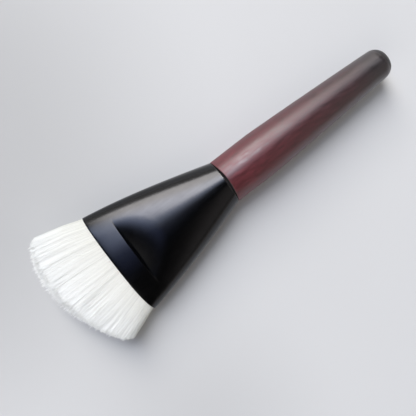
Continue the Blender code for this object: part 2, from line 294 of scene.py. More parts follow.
class StudioSettings(bpy.types.PropertyGroup):
    floor_size: FloatProperty(
        name="Floor size", description="Side of the floor", default=6.0, unit="LENGTH")
    floor_colour: FloatVectorProperty(
        name="Floor colour", description="Pale cool grey", default=(0.644, 0.648, 0.646),
        size=3, subtype="COLOR")
    # Painted shade on the floor: how light its two darker patches are
    painted_side_shade_share: FloatProperty(
        name="Side shade share", description="Lightness of the floor's darker patch at the side",
        default=0.76)
    painted_front_shade_share: FloatProperty(
        name="Front shade share", description="Lightness of its darker patch beyond the hair",
        default=0.88)
    window_power: FloatProperty(
        name="Window power", description="Power of the large soft lamp", default=62.5,
        unit="POWER")
    window_size: FloatVectorProperty(
        name="Window size", description="Width and height of the large soft lamp",
        default=(1.08, 2.22), size=2, unit="LENGTH")
    window_colour: FloatVectorProperty(
        name="Window colour", description="Slightly warm light of the large lamp",
        default=(1.0, 0.965, 0.92), size=3, subtype="COLOR")
    window_place: FloatVectorProperty(
        name="Window place", description="Middle of the large soft lamp, which tips toward the brush",
        default=(-0.33, -1.59, 1.77), size=3, subtype="TRANSLATION")
    wall_colour: FloatVectorProperty(
        name="Wall colour", description="Pale surroundings near the horizon",
        default=(0.58, 0.57, 0.54), size=3, subtype="COLOR")
    warm_wall_colour: FloatVectorProperty(
        name="Warm wall colour", description="Surroundings near the horizon beyond the brush",
        default=(0.74, 0.67, 0.59), size=3, subtype="COLOR")
    ceiling_colour: FloatVectorProperty(
        name="Ceiling colour", description="Dark surroundings overhead",
        default=(0.010, 0.011, 0.014), size=3, subtype="COLOR")
    dusk_colour: FloatVectorProperty(
        name="Dusk colour", description="Blue light round the edge of the large lamp",
        default=(0.85, 1.0, 1.32), size=3, subtype="COLOR")
    dusk_strength: FloatProperty(
        name="Dusk strength", description="Strength of the blue light", default=2.9)
    far_colour: FloatVectorProperty(
        name="Far colour", description="Deep blue light overhead, beyond the hair",
        default=(0.28, 0.38, 0.82), size=3, subtype="COLOR")
    room_colour: FloatVectorProperty(
        name="Room colour", description="Dim light from the other side of the room",
        default=(0.39, 0.36, 0.34), size=3, subtype="COLOR")
    fill_colour: FloatVectorProperty(
        name="Fill colour", description="Pale light from beyond the hair",
        default=(1.32, 1.27, 1.22), size=3, subtype="COLOR")
    skirting_colour: FloatVectorProperty(
        name="Skirting colour", description="Light low down under the large lamp",
        default=(0.75, 0.74, 0.72), size=3, subtype="COLOR")
    camera_height: FloatProperty(
        name="Camera height", description="Height of the camera above the brush's axis",
        default=0.187, unit="LENGTH")
    camera_lens: FloatProperty(
        name="Camera lens", description="Focal length of the camera in millimetres",
        default=44.55, unit="CAMERA")
    image_width: IntProperty(
        name="Image width", description="Pixels across the square image", default=416)
    brush_bearing: FloatProperty(
        name="Brush bearing", description="Angle of the brush's axis in the image",
        default=math.radians(37.6), subtype="ANGLE")


# Working with objects
def deselect_all():
    bpy.ops.object.select_all(action="DESELECT")


def make_active(piece):
    deselect_all()
    piece.select_set(True)
    bpy.context.view_layer.objects.active = piece


def apply_place(piece):
    make_active(piece)
    bpy.ops.object.transform_apply(location=True, rotation=True, scale=True)


def shade(piece):
    make_active(piece)
    bpy.ops.object.shade_smooth_by_angle(angle=SHARP_ANGLE)


def close_mesh():
    """Merges doubles in the mesh that is being edited, turns its faces outward and leaves it."""
    bpy.ops.mesh.select_all(action="SELECT")
    bpy.ops.mesh.remove_doubles(threshold=MERGE_DISTANCE)
    bpy.ops.mesh.normals_make_consistent(inside=False)
    bpy.ops.object.mode_set(mode="OBJECT")


def finish_piece(piece, finish, slot, *nodes):
    """Puts the finish on a piece that stands for CAD nodes, and fixes it to the brush."""
    piece.data.materials.clear()
    piece.data.materials.append(finish)
    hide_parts(*nodes)
    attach(piece, ROOT_BODY)


def mesh_piece(name, points, faces):
    mesh = bpy.data.meshes.new(name)
    mesh.from_pydata(points, [], faces)
    mesh.validate()
    piece = bpy.data.objects.new(name, mesh)
    bpy.context.scene.collection.objects.link(piece)
    return piece


def paint(piece, name, values):
    """Keeps a value at each point of a piece, which its finish reads."""
    made = piece.data.attributes.new(name, "FLOAT", "POINT")
    made.data.foreach_set("value", np.asarray(values, np.float32))


def lerp(low, high, share):
    return low + (high - low) * share


# Shader nodes
FLOAT = "NodeSocketFloat"
COLOUR = "NodeSocketColor"
VECTOR = "NodeSocketVector"

# Numbers of a mix node's sockets for colours, whose names its other sockets have too
MIX_SHARE = 0
MIX_LOW = 6
MIX_HIGH = 7
MIX_RESULT = 2


def add_node(tree, kind, place=(0, 0), **values):
    """New node at a place in its editor, with values for its sockets and its settings."""
    made = tree.nodes.new(kind)
    made.location = place
    for key, value in values.items():
        if key in made.inputs:
            made.inputs[key].default_value = value
        else:
            setattr(made, key, value)
    return made


def feed(tree, socket, source):
    """Gives a socket a plain value, or links it to another socket."""
    if isinstance(source, bpy.types.NodeSocket):
        tree.links.new(source, socket)
    else:
        socket.default_value = source


def opaque(colour):
    return (*colour, 1.0)


def ranged(tree, value, place, start=0.0, full=1.0, low=0.0, high=1.0, kind="LINEAR"):
    """Turns a value that runs from start to full into one that runs from low to high."""
    made = add_node(tree, "ShaderNodeMapRange", place, interpolation_type=kind)
    sources = {"Value": value, "From Min": start, "From Max": full, "To Min": low, "To Max": high}
    for name, source in sources.items():
        feed(tree, made.inputs[name], source)
    return made.outputs["Result"]


def mix_colours(tree, share, low, high, place, kind="MIX"):
    """Mixes two colours. They and their share are sockets or plain values."""
    mixed = add_node(tree, "ShaderNodeMix", place, data_type="RGBA", blend_type=kind)
    for number, source in ((MIX_SHARE, share), (MIX_LOW, low), (MIX_HIGH, high)):
        feed(tree, mixed.inputs[number], source)
    return mixed.outputs[MIX_RESULT]


def tint(tree, colour, shade_of_it, place):
    """A colour times a value or another colour."""
    return mix_colours(tree, 1.0, colour, shade_of_it, place, "MULTIPLY")


def object_place(tree):
    return add_node(tree, "ShaderNodeTexCoord", (-1400, 0)).outputs["Object"]


def painted(tree, name, place):
    """What paint() keeps at each point of a piece."""
    return add_node(tree, "ShaderNodeAttribute", place, attribute_name=name).outputs["Fac"]


def along_share(tree, where, start, end, place):
    """Share from 0 to 1 along the brush between two places on its axis."""
    parts = add_node(tree, "ShaderNodeSeparateXYZ", (-1200, place[1]))
    tree.links.new(where, parts.inputs["Vector"])
    return ranged(tree, parts.outputs["X"], place, start=start, full=end)


def add_bump(tree, shader, height, strength, distance):
    bump = add_node(tree, "ShaderNodeBump", (-200, -300), Strength=strength, Distance=distance)
    tree.links.new(height, bump.inputs["Height"])
    tree.links.new(bump.outputs["Normal"], shader.inputs["Normal"])


def new_material(name, specular=0.5):
    """Material with its node tree and its shader."""
    made = bpy.data.materials.new(name)
    made.use_nodes = True
    shader = made.node_tree.nodes["Principled BSDF"]
    shader.inputs["Specular IOR Level"].default_value = specular
    return made, made.node_tree, shader


# Node groups that several finishes share
def new_group(name, inputs, outputs):
    """Node group with named float, colour or vector sockets, and its two end nodes."""
    group = bpy.data.node_groups.new(name, "ShaderNodeTree")
    for socket, kind, value in inputs:
        made = group.interface.new_socket(socket, in_out="INPUT", socket_type=kind)
        made.default_value = value
    for socket, kind in outputs:
        group.interface.new_socket(socket, in_out="OUTPUT", socket_type=kind)
    start = add_node(group, "NodeGroupInput", (-900, 0))
    end = add_node(group, "NodeGroupOutput", (600, 0))
    return group, start, end


def grain_group(name):
    """Streaks drawn out along the brush, as wood grain or polishing lines."""
    group, start, end = new_group(
        name,
        [("Vector", VECTOR, (0, 0, 0)), ("Along", FLOAT, 60), ("Across", FLOAT, 700),
         ("Detail", FLOAT, 4)],
        [("Mask", FLOAT), ("Height", FLOAT)])
    links = group.links
    scale = add_node(group, "ShaderNodeCombineXYZ", (-700, -100))
    for axis, socket in (("X", "Along"), ("Y", "Across"), ("Z", "Across")):
        links.new(start.outputs[socket], scale.inputs[axis])
    stretched = add_node(group, "ShaderNodeVectorMath", (-500, 0), operation="MULTIPLY")
    links.new(start.outputs["Vector"], stretched.inputs[0])
    links.new(scale.outputs["Vector"], stretched.inputs[1])
    noise = add_node(group, "ShaderNodeTexNoise", (-300, 0), Scale=1.0, Roughness=0.6)
    links.new(stretched.outputs["Vector"], noise.inputs["Vector"])
    links.new(start.outputs["Detail"], noise.inputs["Detail"])
    mask = ranged(group, noise.outputs["Fac"], (-100, 0), start=0.35, full=0.65)
    links.new(mask, end.inputs["Mask"])
    links.new(noise.outputs["Fac"], end.inputs["Height"])
    return group


def mottle_group(name):
    """Soft even blotches, and a blend of two colours by them."""
    group, start, end = new_group(
        name,
        [("Vector", VECTOR, (0, 0, 0)), ("Scale", FLOAT, 100), ("Detail", FLOAT, 3),
         ("Low", COLOUR, (0, 0, 0, 1)), ("High", COLOUR, (1, 1, 1, 1))],
        [("Colour", COLOUR), ("Mask", FLOAT)])
    links = group.links
    noise = add_node(group, "ShaderNodeTexNoise", (-500, 0), Roughness=0.55)
    for socket in ("Vector", "Scale", "Detail"):
        links.new(start.outputs[socket], noise.inputs[socket])
    mask = ranged(group, noise.outputs["Fac"], (-250, 0), start=0.3, full=0.7)
    colour = mix_colours(group, mask, start.outputs["Low"], start.outputs["High"], (0, 0))
    links.new(colour, end.inputs["Colour"])
    links.new(mask, end.inputs["Mask"])
    return group


def place_group(tree, where, name, build, place, **values):
    """Places the node group of that name, which is built the first time, with its values."""
    group = bpy.data.node_groups.get(name) or build(name)
    made = add_node(tree, "ShaderNodeGroup", place, node_tree=group, **values)
    tree.links.new(where, made.inputs["Vector"])
    return made


def drawn_grain(tree, where, **values):
    return place_group(tree, where, "drawn_grain", grain_group, (-900, -200), **values)


def soft_mottle(tree, where, colour, low_share=1.0, high_share=1.0, **values):
    """Blotches between two shades of a colour."""
    low = opaque(Vector(colour) * low_share)
    high = opaque(Vector(colour) * high_share)
    return place_group(tree, where, "soft_mottle", mottle_group, (-800, 100), Low=low, High=high,
                       **values)


# Finishes
def handle_finish(settings):
    """Satin lacquer, maroon at the ferrule and nearly black at the tail, over fine grain, with shade
    painted black on the tail's end and in the gap at the shoulder.
    """
    made, tree, shader = new_material("maroon_lacquer", specular=0.9)
    shader.inputs["Specular Tint"].default_value = opaque(settings.shine_colour)
    shader.inputs["Coat Roughness"].default_value = 0.36
    where = object_place(tree)
    share = along_share(tree, where, TAIL, RIM, (-1000, 200))
    grain = drawn_grain(tree, where, Along=260, Across=950, Detail=4)
    lightness = ranged(tree, grain.outputs["Mask"], (-550, -50), low=0.66, high=1.3)
    grained = tint(tree, lacquer_colour(tree, where, share, settings), lightness, (-300, 200))
    # Painted shade: black on the tail's end, and on the shoulder's face and tenon where the gap lies
    # in shade
    painted_shade = painted(tree, "painted_shade", (-700, 700))
    with_painted_shade = mix_colours(tree, painted_shade, grained, opaque(settings.painted_shade_colour), (-100, 300))
    tree.links.new(with_painted_shade, shader.inputs["Base Color"])
    rough = ranged(tree, grain.outputs["Mask"], (-550, -350), low=0.36, high=0.52)
    duller = ranged(tree, painted_shade, (-300, -500), low=rough, high=0.95)
    tree.links.new(duller, shader.inputs["Roughness"])
    coated = ranged(tree, share, (-300, -700), low=0.6, high=0.0)
    tree.links.new(coated, shader.inputs["Coat Weight"])
    add_bump(tree, shader, grain.outputs["Height"], strength=0.5, distance=0.00004)
    return made


def lacquer_colour(tree, where, share, settings):
    """Colour from the tail to the ferrule, whose change wanders a little."""
    drift_share = 0.24
    tail_place = 0.22
    middle_place = 0.62
    drift = add_node(tree, "ShaderNodeTexNoise", (-1200, 500), Scale=45, Detail=3)
    tree.links.new(where, drift.inputs["Vector"])
    shifted = add_node(tree, "ShaderNodeMath", (-800, 400), operation="MULTIPLY_ADD")
    for number, source in enumerate((drift.outputs["Fac"], drift_share, share)):
        feed(tree, shifted.inputs[number], source)
    ramp = add_node(tree, "ShaderNodeValToRGB", (-600, 400))
    tail, grip = ramp.color_ramp.elements
    tail.position = tail_place
    tail.color = opaque(settings.tail_colour)
    grip.color = opaque(settings.grip_colour)
    ramp.color_ramp.elements.new(middle_place).color = opaque(settings.middle_colour)
    tree.links.new(shifted.outputs["Value"], ramp.inputs["Fac"])
    return ramp.outputs["Color"]


def ferrule_finish(settings):
    """Black lacquer on drawn metal, with bare metal where the rear rim has worn."""
    made, tree, shader = new_material("black_ferrule_lacquer")
    shader.inputs["Metallic"].default_value = 1.0
    worn_share = 0.7
    where = object_place(tree)
    lines = drawn_grain(tree, where, Along=120, Across=2600, Detail=3)
    cloud = soft_mottle(tree, where, settings.colour, high_share=1.1, Scale=260, Detail=3)
    wear = along_share(tree, where, RIM + settings.edge_radius * worn_share, RIM, (-700, 500))
    worn = mix_colours(tree, wear, cloud.outputs["Colour"], opaque(settings.bare_colour), (-300, 200))
    tree.links.new(worn, shader.inputs["Base Color"])
    rough = ranged(tree, lines.outputs["Mask"], (-550, -400), low=0.19, high=0.24)
    tree.links.new(rough, shader.inputs["Roughness"])
    add_bump(tree, shader, lines.outputs["Height"], strength=0.12, distance=0.00001)
    return made


def hair_finish(settings):
    """White hair, creamy at the root and cooler at the tips, each strand a little different, with
    painted light and shade that makes the shorter side paler and the longer side darker.
    """
    made, tree, shader = new_material("white_hair", specular=0.08)
    shader.inputs["Roughness"].default_value = 0.65
    along = painted(tree, "strand_share", (-900, 200))
    tone = painted(tree, "strand_tone", (-900, -100))
    colour = mix_colours(tree, along, opaque(settings.root_colour), opaque(settings.tip_colour),
                         (-500, 200))
    level = ranged(tree, tone, (-700, -100), low=0.84, high=1.0)
    tree.links.new(tint(tree, colour, level, (-250, 100)), shader.inputs["Base Color"])
    return made


def thread_finish(settings):
    """Waxed linen, with wax gathered in patches."""
    made, tree, shader = new_material("waxed_thread")
    wax = soft_mottle(tree, object_place(tree), settings.colour, low_share=0.7, Scale=900, Detail=3)
    tree.links.new(wax.outputs["Colour"], shader.inputs["Base Color"])
    rough = ranged(tree, wax.outputs["Mask"], (-500, -150), low=0.62, high=0.42)
    tree.links.new(rough, shader.inputs["Roughness"])
    add_bump(tree, shader, wax.outputs["Mask"], strength=0.3, distance=0.00004)
    return made


def adhesive_finish(name, colour):
    """Hardened adhesive with cloudy patches and a slightly rippled face."""
    made, tree, shader = new_material(name)
    cloud = soft_mottle(tree, object_place(tree), colour, low_share=0.72, Scale=420, Detail=4)
    tree.links.new(cloud.outputs["Colour"], shader.inputs["Base Color"])
    rough = ranged(tree, cloud.outputs["Mask"], (-500, -150), low=0.16, high=0.34)
    tree.links.new(rough, shader.inputs["Roughness"])
    add_bump(tree, shader, cloud.outputs["Mask"], strength=0.2, distance=0.00006)
    return made


def floor_finish(settings):
    """Plain matt surface, pale and slightly cool, with painted shade that darkens it softly round two
    places.
    """
    made, tree, shader = new_material("pale_floor", specular=0.2)
    shader.inputs["Roughness"].default_value = 0.8
    where = object_place(tree)
    cloud = soft_mottle(tree, where, settings.floor_colour, low_share=0.985, Scale=9, Detail=2)
    shaded = painted_shade_spot(tree, where, cloud.outputs["Colour"], image_point(settings, PAINTED_SHADE_SIDE_PIXEL),
                        near=0.040, far=0.135, share=settings.painted_side_shade_share)
    shaded = painted_shade_spot(tree, where, shaded, image_point(settings, PAINTED_SHADE_FRONT_PIXEL),
                        near=0.0, far=0.060, share=settings.painted_front_shade_share)
    tree.links.new(shaded, shader.inputs["Base Color"])
    return made


def painted_shade_spot(tree, where, colour, middle, near, far, share):
    """Paints shade: darkens a colour round a place on the floor, less and less between two distances.
    """
    away = add_node(tree, "ShaderNodeVectorMath", (-900, -200), operation="DISTANCE")
    away.inputs[1].default_value = (middle.x, middle.y, 0)
    tree.links.new(where, away.inputs[0])
    fade = ranged(tree, away.outputs["Value"], (-700, -200), start=near, full=far, low=share,
                  kind="SMOOTHSTEP")
    return tint(tree, colour, fade, (-250, 100))


# Handle. The slant and the soft border are those of the painted shade on the tail's end.
SHOULDER_RADIUS_SHARE = 0.993
PARTED_RADIUS_SHARE = 0.9
GROOVE_PLACE_SHARES = (0.14, 0.52)
GAP_POWER = 3
CAP_SLANT = -0.12
CAP_BORDER = 0.0003


def grip_outline(settings):
    """Turned outline from the centre of the tail to the shoulder, as places and radii."""
    shoulder = RIM - settings.seat_gap
    dome_start = TAIL + settings.dome_length
    belly = shoulder - settings.belly_length
    points = [(TAIL, 0), (TAIL, settings.flat_radius * PARTED_RADIUS_SHARE)]
    dome_steps = 20
    for step in range(dome_steps + 1):
        turn = math.pi / 2 * step / dome_steps
        radius = lerp(settings.flat_radius, settings.tail_radius, math.sin(turn))
        points.append((dome_start - settings.dome_length * math.cos(turn), radius))
    taper_steps = 36
    for step in range(1, taper_steps + 1):
        share = 1 - step / taper_steps
        radius = lerp(BELLY_RADIUS, settings.tail_radius, share ** settings.taper_power)
        points.append((lerp(belly, dome_start, share), radius))
    edge_radius = BELLY_RADIUS * SHOULDER_RADIUS_SHARE
    edge_steps = 6
    for step in range(edge_steps + 1):
        turn = math.pi / 2 * step / edge_steps
        drop = settings.shoulder_edge * (1 - math.cos(turn))
        rise = settings.shoulder_edge * (math.sin(turn) - 1)
        points.append((shoulder + rise, edge_radius - drop))
    return points


def tenon_outline(settings):
    """Turned outline of the tenon with its glue grooves, ending on the axis."""
    shoulder = RIM - settings.seat_gap
    length = TENON_END - shoulder
    points = [(shoulder, settings.tenon_radius)]

    def radius_at(distance):
        return lerp(settings.tenon_radius, settings.tenon_tip_radius, distance / length)

    for share in GROOVE_PLACE_SHARES:
        near = length * share
        far = near + settings.groove_width
        floor = radius_at(near) - settings.groove_depth
        points += [(shoulder + near, radius_at(near)), (shoulder + near, floor),
                   (shoulder + far, floor), (shoulder + far, radius_at(far))]
    chamfer = settings.groove_depth
    points.append((TENON_END - chamfer, radius_at(length)))
    points.append((TENON_END, radius_at(length) - chamfer))
    points.append((TENON_END, 0))
    return points


def turned_piece(name, outline, sides):
    """Solid turned round the brush's axis: a point drawn out along the outline, then spun."""
    deselect_all()
    start, radius = outline[0]
    bpy.ops.mesh.primitive_plane_add(size=BELLY_RADIUS, location=(start, AXIS_Y, AXIS_Z + radius))
    piece = bpy.context.object
    piece.name = name
    bpy.ops.object.mode_set(mode="EDIT")
    bpy.ops.mesh.select_all(action="SELECT")
    bpy.ops.mesh.merge(type="CENTER")
    for near, far in zip(outline, outline[1:]):
        step = (far[0] - near[0], 0, far[1] - near[1])
        bpy.ops.mesh.extrude_vertices_move(TRANSFORM_OT_translate={"value": step})
    bpy.ops.mesh.select_all(action="SELECT")
    bpy.ops.mesh.spin(steps=sides, angle=2 * math.pi, center=(start, AXIS_Y, AXIS_Z),
                      axis=(1, 0, 0))
    close_mesh()
    apply_place(piece)
    shade(piece)
    return piece


class BRUSH_OT_turn_handle(bpy.types.Operator):
    """Turns the wooden handle with its tenon and lacquers it"""
    bl_idname = "brush.turn_handle"
    bl_label = "Turn handle"

    def execute(self, context):
        settings = context.scene.brush_handle
        outline = grip_outline(settings) + tenon_outline(settings)
        handle = turned_piece("turned_handle", outline, settings.sides)
        self.open_gap(handle, settings)
        self.paint_end_shade(handle, settings)
        finish_piece(handle, handle_finish(settings), "handle_wood", "handle")
        return {"FINISHED"}

    def open_gap(self, handle, settings):
        """Draws the top of the shoulder back from the ferrule."""
        shoulder = RIM - settings.seat_gap
        edge = shoulder - settings.shoulder_edge
        for vertex in handle.data.vertices:
            if edge - MERGE_DISTANCE <= vertex.co.x <= shoulder + MERGE_DISTANCE:
                rise = max(0, (vertex.co.z - AXIS_Z) / BELLY_RADIUS)
                vertex.co.x -= settings.gap_rise * rise ** GAP_POWER

    def paint_end_shade(self, handle, settings):
        """Marks where shade is painted black: the tail's very end, the shoulder's face and the tenon
        in the gap.
        """
        places = np.array([vertex.co for vertex in handle.data.vertices])
        along = places[:, 0]
        sideways = places[:, 1] - AXIS_Y
        radius = np.hypot(sideways, places[:, 2] - AXIS_Z)
        shoulder = RIM - settings.seat_gap - settings.gap_rise - settings.shoulder_edge
        rim_radius = BELLY_RADIUS * SHOULDER_RADIUS_SHARE - settings.shoulder_edge / 2
        inside = (along > shoulder) & (radius < rim_radius)
        # Painted shade on the steep end of the tail's dome
        cap_end = TAIL + settings.cap_length + sideways * CAP_SLANT
        cap = np.clip((cap_end - along) / CAP_BORDER, 0, 1)
        paint(handle, "painted_shade", np.where(inside, 1, cap))


# Ferrule. A setback is the distance behind its lip.
CREASE_ROWS = 24
RIM_STEPS = 3
RIM_ANGLE = math.radians(60)
# How late toward its ends the crease runs out, and how late toward one end the lip is cut back
CREASE_POWER = 4
LIP_POWER = 5


def half_width(settings, setback):
    share = setback / FERRULE_LENGTH
    start = settings.taper_start_share
    curve = settings.taper_curve_share
    drop = start * share + curve * share ** 2 + (1 - start - curve) * share ** 3
    return lerp(MOUTH_HALF_WIDTH, RIM_RADIUS, drop)


def half_height(settings, setback):
    share = np.maximum(setback / FERRULE_LENGTH, 0)
    return lerp(settings.mouth_half_height, RIM_RADIUS, share ** settings.height_power)


def squareness(settings, setback):
    return lerp(settings.mouth_squareness, settings.rim_squareness, setback / FERRULE_LENGTH)


def smooth_min(first, second, softness):
    """The lower of two heights, rounded over where they cross."""
    overlap = np.maximum(softness - np.abs(first - second), 0) / softness
    return np.minimum(first, second) - overlap * overlap * softness / 4


def press_height(settings, setback, side_share):
    """Greatest height of the wall, which drops over the crease to the pressed flat."""
    near_end = np.minimum(np.abs(side_share) / settings.crease_share, 1) ** CREASE_POWER
    front = half_height(settings, settings.press_setback) - settings.press_depth * (1 - near_end)
    rear = half_height(settings, settings.press_setback + settings.press_reach)
    flat = lerp(front, rear, (setback - settings.press_setback) / settings.press_reach)
    crest = half_height(settings, setback) + settings.press_softness
    into_step = (setback - settings.press_setback) / settings.press_step + 1
    return lerp(crest, flat, np.clip(into_step, 0, 1))


def oval_shares(turn, power):
    """Sideways and upward shares of an oval's half sizes at a turn round it."""
    side = np.sign(np.cos(turn)) * np.abs(np.cos(turn)) ** (2 / power)
    rise = np.sign(np.sin(turn)) * np.abs(np.sin(turn)) ** (2 / power)
    return side, rise


def wall_places(settings, setback, turn):
    """Sideways and upward distances of the wall from the axis."""
    side, rise = oval_shares(turn, squareness(settings, setback))
    height = np.abs(half_height(settings, setback) * rise)
    pressed = smooth_min(height, press_height(settings, setback, side), settings.press_softness)
    return half_width(settings, setback) * side, np.sign(rise) * pressed


def lip_drop(settings, side_share, setback):
    """Cutback of the lip toward one end, which runs out behind it."""
    near_end = np.clip(side_share, 0, 1) ** LIP_POWER
    return settings.lip_cutback * near_end * np.clip(1 - setback / FERRULE_LENGTH, 0, 1) ** 2


def wall_rows(settings):
    """Setbacks of the shell's rows, packed closer over the crease."""
    even = np.linspace(0, FERRULE_LENGTH, settings.rows)
    step = settings.press_step
    crease = settings.press_setback + np.linspace(-2 * step, step, CREASE_ROWS)
    outside = even[(even < crease[0]) | (even > crease[-1])]
    return np.sort(np.concatenate([outside, crease]))


def shape_wall(piece, settings, setbacks):
    """Moves the tube's vertices from their plain rows to the ferrule's wall."""
    places = np.empty(len(piece.data.vertices) * 3)
    piece.data.vertices.foreach_get("co", places)
    places = places.reshape(-1, 3)
    row = np.rint((LIP - places[:, 0]) / FERRULE_LENGTH * (len(setbacks) - 1)).astype(int)
    setback = setbacks[row]
    turn = np.arctan2(places[:, 2] - AXIS_Z, places[:, 1] - AXIS_Y)
    side, rise = wall_places(settings, setback, turn)
    behind = setback + lip_drop(settings, side / MOUTH_HALF_WIDTH, setback)
    shaped = np.column_stack([LIP - behind, AXIS_Y + side, AXIS_Z + rise])
    piece.data.vertices.foreach_set("co", shaped.ravel())
    piece.data.update()


class BRUSH_OT_press_ferrule(bpy.types.Operator):
    """Draws the ferrule's tube, presses it to shape, gives it its wall and rounds its rims"""
    bl_idname = "brush.press_ferrule"
    bl_label = "Press ferrule"

    def execute(self, context):
        settings = context.scene.brush_ferrule
        setbacks = wall_rows(settings)
        deselect_all()
        bpy.ops.mesh.primitive_circle_add(
            vertices=settings.sides, radius=RIM_RADIUS, location=(LIP, AXIS_Y, AXIS_Z),
            rotation=(0, math.pi / 2, 0))
        ferrule = context.object
        ferrule.name = "pressed_ferrule"
        step = FERRULE_LENGTH / (len(setbacks) - 1)
        bpy.ops.object.mode_set(mode="EDIT")
        bpy.ops.mesh.select_all(action="SELECT")
        for row in range(len(setbacks) - 1):
            bpy.ops.mesh.extrude_edges_move(TRANSFORM_OT_translate={"value": (-step, 0, 0)})
        close_mesh()
        apply_place(ferrule)
        shape_wall(ferrule, settings, setbacks)
        self.add_wall(ferrule, settings)
        shade(ferrule)
        finish_piece(ferrule, ferrule_finish(settings), "ferrule_metal", "ferrule")
        return {"FINISHED"}

    def add_wall(self, ferrule, settings):
        make_active(ferrule)
        wall = ferrule.modifiers.new("wall", "SOLIDIFY")
        wall.thickness = settings.wall
        wall.offset = -1
        wall.use_even_offset = True
        bpy.ops.object.modifier_apply(modifier=wall.name)
        edge = ferrule.modifiers.new("rims", "BEVEL")
        edge.width = settings.edge_radius
        edge.segments = RIM_STEPS
        edge.limit_method = "ANGLE"
        edge.angle_limit = RIM_ANGLE
        bpy.ops.object.modifier_apply(modifier=edge.name)


# Hair. A strand's side and face shares are its place in the mouth, from -1 to 1.
STRAND_SIDES = 3
# Places of a strand's rings along it, as shares, and their radii as shares of its root's
RING_SHARES = np.array([0, 0.5, 0.96, 1.0])
TAPER_SHARES = np.array([1, 1.15, 1.25, 0])

# How far strands and locks differ from what they have in common, as standard deviations
LENGTH_SPREAD_SHARE = 0.036
LOCK_LENGTH_SPREAD_SHARE = 0.010
LEAN_SPREAD = 0.00004
LOCK_LEAN_SPREAD = 0.000012
STRAY_LEAN_SPREAD = 0.0005
TURN_SPREAD = 0.1
LOCK_TURN_SPREAD = 0.018
TONE_SPREAD = 0.35
LOCK_TONE_SPREAD = 0.13

# Middle tone of the locks, and the range of the strands' thickness
LOCK_TONE = 0.65
THINNEST_SHARE = 0.8
THICKEST_SHARE = 1.2

# How much more the shorter side's strands and locks lean and turn, and the painted light and shade of
# the sides: the shorter side, which lies in shade, is painted paler and the longer, lit side darker
STRAND_FRAY = 4
LOCK_FRAY = 12
TURN_SKEW_SHARE = 0.67
PAINTED_SIDE_SHADING = 0.3

# What the tuft's heart is painted with, in place of a share along a strand and a strand's tone
HEART_SHARE = 0.3
HEART_TONE = 0.8


def strand_reach(settings, side_share, face_share):
    """Length of a strand beyond the lip, from its place in the mouth."""
    length = settings.length * (1 - settings.skew_share * side_share)
    length = length * (1 - settings.side_share * np.abs(side_share) ** settings.side_power)
    length = length * (1 + settings.face_skew * face_share)
    return length * (1 - settings.face_share * np.abs(face_share) ** settings.face_power)


def strand_places(settings, root_y, root_z, reach):
    """Where a strand is at a reach beyond its root: the tuft fans out."""
    swell = settings.side_swell * np.sin(math.pi * np.clip(reach / settings.length, 0, 1))
    side = root_y * (1 + reach / settings.side_fan + swell)
    face = root_z * (1 + reach / settings.face_fan)
    return np.stack([LIP - settings.recess + reach, AXIS_Y + side, AXIS_Z + face], axis=-1)


def mouth_sizes(settings, ferrule):
    """Half the width and half the height of the oval that the roots fill."""
    width = half_width(ferrule, settings.recess) - settings.inset
    return width, ferrule.mouth_half_height - settings.inset


def oval_distance(side, face, power):
    return (np.abs(side) ** power + np.abs(face) ** power) ** (1 / power)


def even_turns(settings, ferrule, shares):
    """Turns of the mouth's oval at shares of the way round it, evenly spaced along its edge."""
    width, height = mouth_sizes(settings, ferrule)
    steps_round = 720
    turn = np.linspace(0, 2 * math.pi, steps_round + 1)
    side, face = oval_shares(turn, ferrule.mouth_squareness)
    steps = np.hypot(np.diff(side * width), np.diff(face * height))
    way = np.concatenate([[0], np.cumsum(steps)])
    return np.interp(shares * way[-1], way, turn)


def scatter_roots(draw, settings, ferrule, count):
    """Side and face shares of roots scattered in the mouth, most of them near its border."""
    rim = even_turns(settings, ferrule, draw.uniform(0, 1, count))
    inside = draw.uniform(0, 2 * math.pi, count)
    in_shell = draw.uniform(0, 1, count) < settings.shell_share
    shell = lerp(settings.shell_start, 1, draw.uniform(0, 1, count))
    distance = np.where(in_shell, shell, draw.uniform(0, 1, count) ** 0.5)
    side, face = oval_shares(np.where(in_shell, rim, inside), ferrule.mouth_squareness)
    return distance * side, distance * face


def squared(settings, ferrule, side, face, share):
    """Moves shares of the mouth's oval outward, as the tuft's section grows squarer."""
    power = ferrule.mouth_squareness
    grown = lerp(power, settings.tip_squareness, share)
    tiny = 0.000001
    grow = (oval_distance(side, face, power) + tiny) / (oval_distance(side, face, grown) + tiny)
    return side * grow, face * grow


def pointed_faces(sides, rings):
    """Faces of a solid of several rings and a point: its butt, its bands and its tip."""
    faces = [tuple(range(sides))[::-1]]
    for low in range(0, (rings - 1) * sides, sides):
        high = low + sides
        for side in range(sides):
            after = (side + 1) % sides
            faces.append((low + side, low + after, high + after, high + side))
    last = (rings - 1) * sides
    tip = rings * sides
    faces += [(last + side, last + (side + 1) % sides, tip) for side in range(sides)]
    return faces


